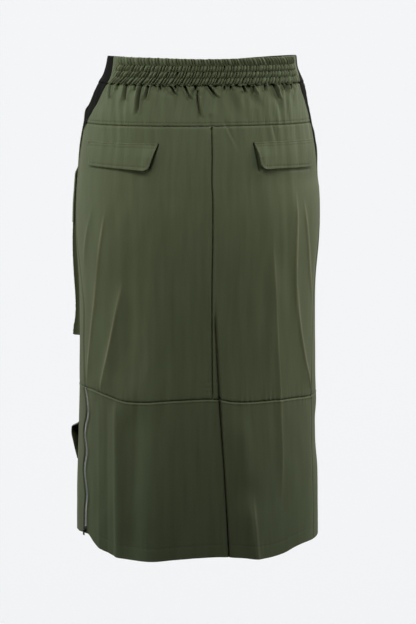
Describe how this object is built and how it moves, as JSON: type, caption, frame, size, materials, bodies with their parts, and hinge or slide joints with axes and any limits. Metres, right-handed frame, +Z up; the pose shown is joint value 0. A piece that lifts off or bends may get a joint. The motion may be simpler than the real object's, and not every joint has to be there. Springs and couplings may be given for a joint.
{
  "type": "cargo utility skirt",
  "caption": "Long cloth skirt with an elasticated gathered back waistband, yoke, back pocket flaps, a bellows side pocket, a utility loop and a side zip that rises from the hem.",
  "frame": {"origin": "middle of the waistband at the wearer's waist, where the wearer holds the skirt up", "axes": "+Z up to the wearer's head, +Y towards the wearer's back, +X towards the wearer's left"},
  "size_m": [0.404, 0.3024, 0.7847],
  "materials": {
    "olive_cloth": "smooth, fine woven, slight sheen",
    "pocketing": "near-black pocket cloth",
    "zip_metal": "satin metal"
  },
  "bodies": {
    "skirt": {"waistband_back": "olive_cloth", "waistband_front": "pocketing", "back_yoke": "olive_cloth", "back_panel_left": "olive_cloth", "back_panel_right": "olive_cloth", "back_hem_tier": "olive_cloth", "front_panel": "olive_cloth", "front_hem_tier": "olive_cloth", "hip_pocket_left": "pocketing", "hip_pocket_right": "pocketing", "flap_left": "olive_cloth", "flap_right": "olive_cloth", "cargo_pocket": "olive_cloth", "cargo_pocket_flap": "olive_cloth", "utility_loop": "olive_cloth", "side_zip": "zip_metal", "zip_slider": "zip_metal"},
    "zip_pull": {"zip_pull": "zip_metal"}
  },
  "joints": [
    {"name": "zip_pull_swing", "type": "hinge", "parent": "skirt", "child": "zip_pull", "pos_m": [0.18982, 0.05655, -0.733], "axis": [0.3993, -0.9168, 0], "range_deg": [0, 150]}
  ]
}
